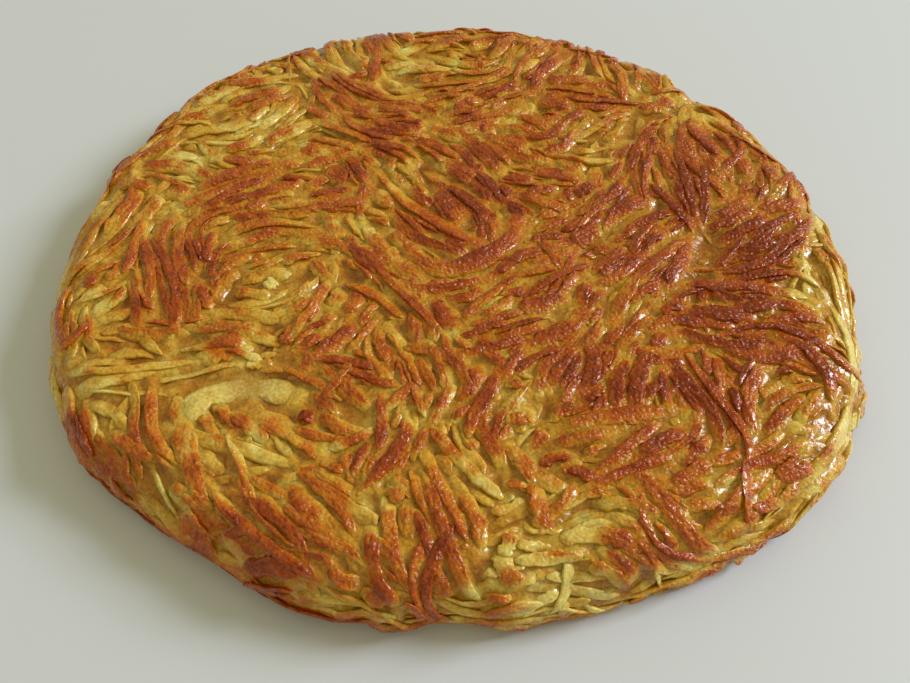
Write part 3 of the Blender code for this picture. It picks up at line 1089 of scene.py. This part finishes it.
# %% Helpers for nodes
def srgb(red, green, blue):
    """A colour written as 0 to 255 screen values, as the linear numbers that the shader wants."""
    share = np.array([red, green, blue]) / 255
    linear = np.where(share < 0.04045, share / 12.92, ((share + 0.055) / 1.055) ** 2.4)
    return (*[float(value) for value in linear], 1.0)


def plug(tree, socket, value):
    """Sets a socket to a number or a colour, or links another node's output to it."""
    if isinstance(value, bpy.types.NodeSocket):
        tree.links.new(value, socket)
    else:
        socket.default_value = value


def math_node(tree, operation, first, second):
    """One sum of two numbers or sockets."""
    node = tree.nodes.new("ShaderNodeMath")
    node.operation = operation
    plug(tree, node.inputs[0], first)
    plug(tree, node.inputs[1], second)
    return node.outputs[0]


def noise(tree, where, scale, detail, roughness=0.5):
    """A noise pattern with its middle at 0. scale counts its features in a metre."""
    node = tree.nodes.new("ShaderNodeTexNoise")
    plug(tree, node.inputs["Vector"], where)
    node.inputs["Scale"].default_value = scale
    node.inputs["Detail"].default_value = detail
    node.inputs["Roughness"].default_value = roughness
    return math_node(tree, "SUBTRACT", node.outputs["Fac"], 0.5)


def ramp(tree, level, stops):
    """A colour ramp from (position, colour) stops."""
    node = tree.nodes.new("ShaderNodeValToRGB")
    while len(node.color_ramp.elements) < len(stops):
        node.color_ramp.elements.new(0.5)
    for element, (position, colour) in zip(node.color_ramp.elements, stops):
        element.position = position
        element.color = colour
    plug(tree, node.inputs["Fac"], level)
    return node.outputs["Color"]


def blend(tree, kind, factor, first, second):
    """Two colours mixed or multiplied, by a factor from 0 to 1."""
    node = tree.nodes.new("ShaderNodeMix")
    node.data_type = "RGBA"
    node.blend_type = kind
    plug(tree, node.inputs["Factor"], factor)
    plug(tree, node.inputs["A"], first)
    plug(tree, node.inputs["B"], second)
    return node.outputs["Result"]


def smooth_step(tree, value, low, high):
    """0 below low, 1 above high, and eased between them."""
    node = tree.nodes.new("ShaderNodeMapRange")
    node.interpolation_type = "SMOOTHSTEP"
    plug(tree, node.inputs["Value"], value)
    node.inputs["From Min"].default_value = low
    node.inputs["From Max"].default_value = high
    return node.outputs["Result"]


def new_group(name, inputs, outputs):
    """A node group with named sockets. Returns the group, what comes in, and the node that takes
    what goes out."""
    group = bpy.data.node_groups.new(name, "ShaderNodeTree")
    for label, kind in inputs:
        group.interface.new_socket(label, in_out="INPUT", socket_type=kind)
    for label, kind in outputs:
        group.interface.new_socket(label, in_out="OUTPUT", socket_type=kind)
    given = group.nodes.new("NodeGroupInput").outputs
    return group, given, group.nodes.new("NodeGroupOutput").inputs


def use_group(tree, group, values):
    """Places a group in a material, and gives it its values."""
    node = tree.nodes.new("ShaderNodeGroup")
    node.node_tree = group
    for label, value in values.items():
        plug(tree, node.inputs[label], value)
    return node.outputs


NUMBER, COLOUR, VECTOR = "NodeSocketFloat", "NodeSocketColor", "NodeSocketVector"

# %% Fried colour
GEL = ((0.0, srgb(160, 102, 22)), (0.35, srgb(183, 132, 37)), (0.7, srgb(201, 165, 66)),
       (1.0, srgb(212, 194, 112)))
CRUST = ((0.12, srgb(198, 140, 32)), (0.38, srgb(184, 103, 18)), (0.66, srgb(160, 69, 9)),
         (1.0, srgb(129, 45, 5)))
# the amber of pooled oil, also used as painted shade in the hollows
AMBER_OIL_AND_SHADE = srgb(196, 138, 36)
CLOUDS = (260, 2)  # each noise is a scale and a detail, and some have a roughness
GRAIN = (1100, 2, 0.6)
GRAIN_SWING = 0.65
SPECKS = (300, 2)
SPECK_SWING = 1.2
LEAST_SPREAD = 0.2  # the noise moves the browning more where there is more of it
SPREAD_GROWTH = 0.6
CRUST_RANGE = (0.02, 0.42)  # the browning at which crust starts, and at which it covers the gel
SHADES = (1200, 1)
SHADE_SWING = 0.9


def fried_colour_group():
    """Gel by tone, made amber and darker in recesses for pooled oil and as painted shade, and the crust
    over it by browning, broken up by noise.
    """
    group, given, result = new_group(
        "fried colour",
        [("Where", VECTOR), ("Fibre", VECTOR), ("Browning", NUMBER), ("Hollow_Oil_And_Shade", NUMBER), ("Tone", NUMBER)],
        [("Color", COLOUR), ("Crust", NUMBER)])
    tone = math_node(group, "ADD", given["Tone"], noise(group, given["Where"], *CLOUDS))
    gel = ramp(group, tone, GEL)
    # painted shade: the deeper the gel lies, the more it is multiplied towards amber, partly for pooled
    # oil
    gel = blend(group, "MULTIPLY", given["Hollow_Oil_And_Shade"], gel, AMBER_OIL_AND_SHADE)
    grain = math_node(group, "MULTIPLY", noise(group, given["Fibre"], *GRAIN), GRAIN_SWING)
    speck = math_node(group, "MULTIPLY", noise(group, given["Where"], *SPECKS), SPECK_SWING)
    growth = math_node(group, "MULTIPLY", given["Browning"], SPREAD_GROWTH)
    spread = math_node(group, "ADD", LEAST_SPREAD, growth)
    mottle = math_node(group, "MULTIPLY", math_node(group, "ADD", grain, speck), spread)
    level = math_node(group, "ADD", given["Browning"], mottle)
    crust = smooth_step(group, level, *CRUST_RANGE)
    colour = blend(group, "MIX", crust, gel, ramp(group, level, CRUST))
    swing = math_node(group, "MULTIPLY", noise(group, given["Where"], *SHADES), SHADE_SWING)
    shade = math_node(group, "ADD", 1.0, swing)
    colour = blend(group, "MULTIPLY", 1.0, colour, shade)
    group.links.new(colour, result["Color"])
    group.links.new(crust, result["Crust"])
    return group


# %% Crust relief
BLISTERS = (1100, 0.8, 0.4)
FIBRES = (900, 0.5)
SOFT_SWELL = (420, 0.8)
SMOOTH_SHARE = 0.35  # how strong the crumbs are where there is no crust


def crust_relief_group():
    """Height of the blisters and crumbs: a fine noise, stronger on the crust, and a wider soft one."""
    group, given, result = new_group(
        "crust relief",
        [("Where", VECTOR), ("Fibre", VECTOR), ("Crust", NUMBER), ("Crumbs", NUMBER), ("Swell", NUMBER)],
        [("Height", NUMBER)])
    share = math_node(group, "ADD", SMOOTH_SHARE, given["Crust"])
    blisters = noise(group, given["Where"], *BLISTERS)
    crumbs = math_node(group, "ADD", blisters, noise(group, given["Fibre"], *FIBRES))
    crumbs = math_node(group, "MULTIPLY", crumbs, given["Crumbs"])
    crumbs = math_node(group, "MULTIPLY", crumbs, share)
    swell = math_node(group, "MULTIPLY", noise(group, given["Where"], *SOFT_SWELL), given["Swell"])
    group.links.new(math_node(group, "ADD", crumbs, swell), result["Height"])
    return group


FRIED_COLOUR = fried_colour_group()
CRUST_RELIEF = crust_relief_group()
print("node groups:", FRIED_COLOUR.name, "and", CRUST_RELIEF.name)

# %% [markdown]
# ## Two finishes of potato
# Light goes into cooked potato and comes out again a little further on, deep in the soft part and
# only just under the skin of a fried shred. One plain gloss all over would look like varnish. So
# the gloss varies: a dull, uneven surface, with a film of oil that has drawn itself into drops.

# %% The potato materials
OILED = 0.8
OIL_NOISE = (900, 1)
OIL_DROPS = (-0.04, 0.14)  # the noise at which a drop starts, and at which it is full
OIL_ROUGHNESS = 0.13
DRYNESS = (120, 2)
DRYNESS_SWING = 0.30
GLOSS = 0.25
SPECULAR = 0.26
BUMP_DISTANCE = 0.9 * MM
LIGHT_SPREAD = (1.0, 0.6, 0.2)  # red light runs furthest inside potato


def potato_material(name, crumbs, swell, clear, depth):
    """Fried potato. crumbs and swell are the bump, clear is the share of light that goes in, and
    depth is how far it runs inside, in metres."""
    made = bpy.data.materials.new(name)
    made.use_nodes = True
    tree = made.node_tree
    shader = tree.nodes["Principled BSDF"]
    where = tree.nodes.new("ShaderNodeTexCoord").outputs["Object"]
    values = {"Where": where}
    for label, output in (("Browning", "Fac"), ("Hollow_Oil_And_Shade", "Fac"), ("Tone", "Fac"), ("Fibre", "Vector")):
        node = tree.nodes.new("ShaderNodeAttribute")
        node.attribute_name = label.lower()
        values[label] = node.outputs[output]
    colour = use_group(tree, FRIED_COLOUR, values)
    tree.links.new(colour["Color"], shader.inputs["Base Color"])
    relief_values = {"Where": where, "Fibre": values["Fibre"], "Crust": colour["Crust"],
                     "Crumbs": crumbs, "Swell": swell}
    relief = use_group(tree, CRUST_RELIEF, relief_values)
    bump = tree.nodes.new("ShaderNodeBump")
    bump.inputs["Distance"].default_value = BUMP_DISTANCE
    tree.links.new(relief["Height"], bump.inputs["Height"])
    tree.links.new(bump.outputs["Normal"], shader.inputs["Normal"])
    dryness = math_node(tree, "MULTIPLY", noise(tree, where, *DRYNESS), DRYNESS_SWING)
    tree.links.new(math_node(tree, "ADD", dryness, GLOSS), shader.inputs["Roughness"])
    shader.inputs["Specular IOR Level"].default_value = SPECULAR
    oil = smooth_step(tree, noise(tree, where, *OIL_NOISE), *OIL_DROPS)
    tree.links.new(math_node(tree, "MULTIPLY", oil, OILED), shader.inputs["Coat Weight"])
    shader.inputs["Coat Roughness"].default_value = OIL_ROUGHNESS
    shader.inputs["Subsurface Weight"].default_value = clear
    shader.inputs["Subsurface Radius"].default_value = LIGHT_SPREAD
    shader.inputs["Subsurface Scale"].default_value = depth
    return made


fried_shreds = potato_material("fried shreds", 0.6, 0.5, 0.4, 1.6 * MM)
soft_potato = potato_material("soft potato", 0.5, 0.6, 0.7, 3.0 * MM)
for piece in pieces:
    piece.data.materials.append(soft_potato if piece is core else fried_shreds)
    print(piece.name, "is made of", piece.data.materials[0].name)

# %% [markdown]
# ## Floor, light and camera
# The cake lies on a plain pale floor. A studio with three lamps would flatten the shreds' relief.
# So a dim warm room fills the shadows, and one cool window at the side, low enough to graze the
# top, draws the shreds and their gloss. The camera looks down on the cake as a cook does who is
# about to cut it.

# %% Floor
FLOOR_HALF = 3.0
floor_mesh = bpy.data.meshes.new("floor")
floor_corners = [(-FLOOR_HALF, -FLOOR_HALF, 0), (FLOOR_HALF, -FLOOR_HALF, 0),
                 (FLOOR_HALF, FLOOR_HALF, 0), (-FLOOR_HALF, FLOOR_HALF, 0)]
floor_mesh.from_pydata(floor_corners, [], [(0, 1, 2, 3)])
floor = bpy.data.objects.new("floor", floor_mesh)
bpy.context.scene.collection.objects.link(floor)
paint = bpy.data.materials.new("pale floor")
paint.use_nodes = True
paint.node_tree.nodes["Principled BSDF"].inputs["Base Color"].default_value = srgb(199, 204, 218)
paint.node_tree.nodes["Principled BSDF"].inputs["Roughness"].default_value = 0.5
floor_mesh.materials.append(paint)
print("floor", 2 * FLOOR_HALF, "m across")

# %% The room's light
world = bpy.data.worlds.new("soft room")
bpy.context.scene.world = world
world.use_nodes = True
world.node_tree.nodes["Background"].inputs["Color"].default_value = (1.0, 0.93, 0.54, 1.0)
world.node_tree.nodes["Background"].inputs["Strength"].default_value = 0.56

# %% The window
WINDOW_PLACE = (2.34, 0.54, 1.53)
window_light = bpy.data.lights.new("window", "AREA")
window_light.size = 1.0
window_light.energy = 73.0
window_light.color = (0.94, 0.97, 1.0)
window = bpy.data.objects.new("window", window_light)
window.location = WINDOW_PLACE
aim = -np.array(WINDOW_PLACE)
tilt = math.acos(-aim[2] / np.linalg.norm(aim))
window.rotation_euler = (tilt, 0.0, math.atan2(aim[1], aim[0]) - math.pi / 2)
bpy.context.scene.collection.objects.link(window)
print("the window is", round(window.location.length, 2), "m away")

# %% Camera
LOOKS_DOWN = 52.8  # degrees
lens = bpy.data.cameras.new("camera")
lens.sensor_width = 36.0
lens.lens = 35.6
camera = bpy.data.objects.new("camera", lens)
camera.location = (0.0, -0.1836, 0.2106)
camera.rotation_euler = (math.radians(90 - LOOKS_DOWN), 0.0, 0.0)
bpy.context.scene.collection.objects.link(camera)
bpy.context.scene.camera = camera
bpy.context.scene.view_settings.view_transform = "Standard"
print("the camera is", round(camera.location.length, 3), "m from the middle of the base")
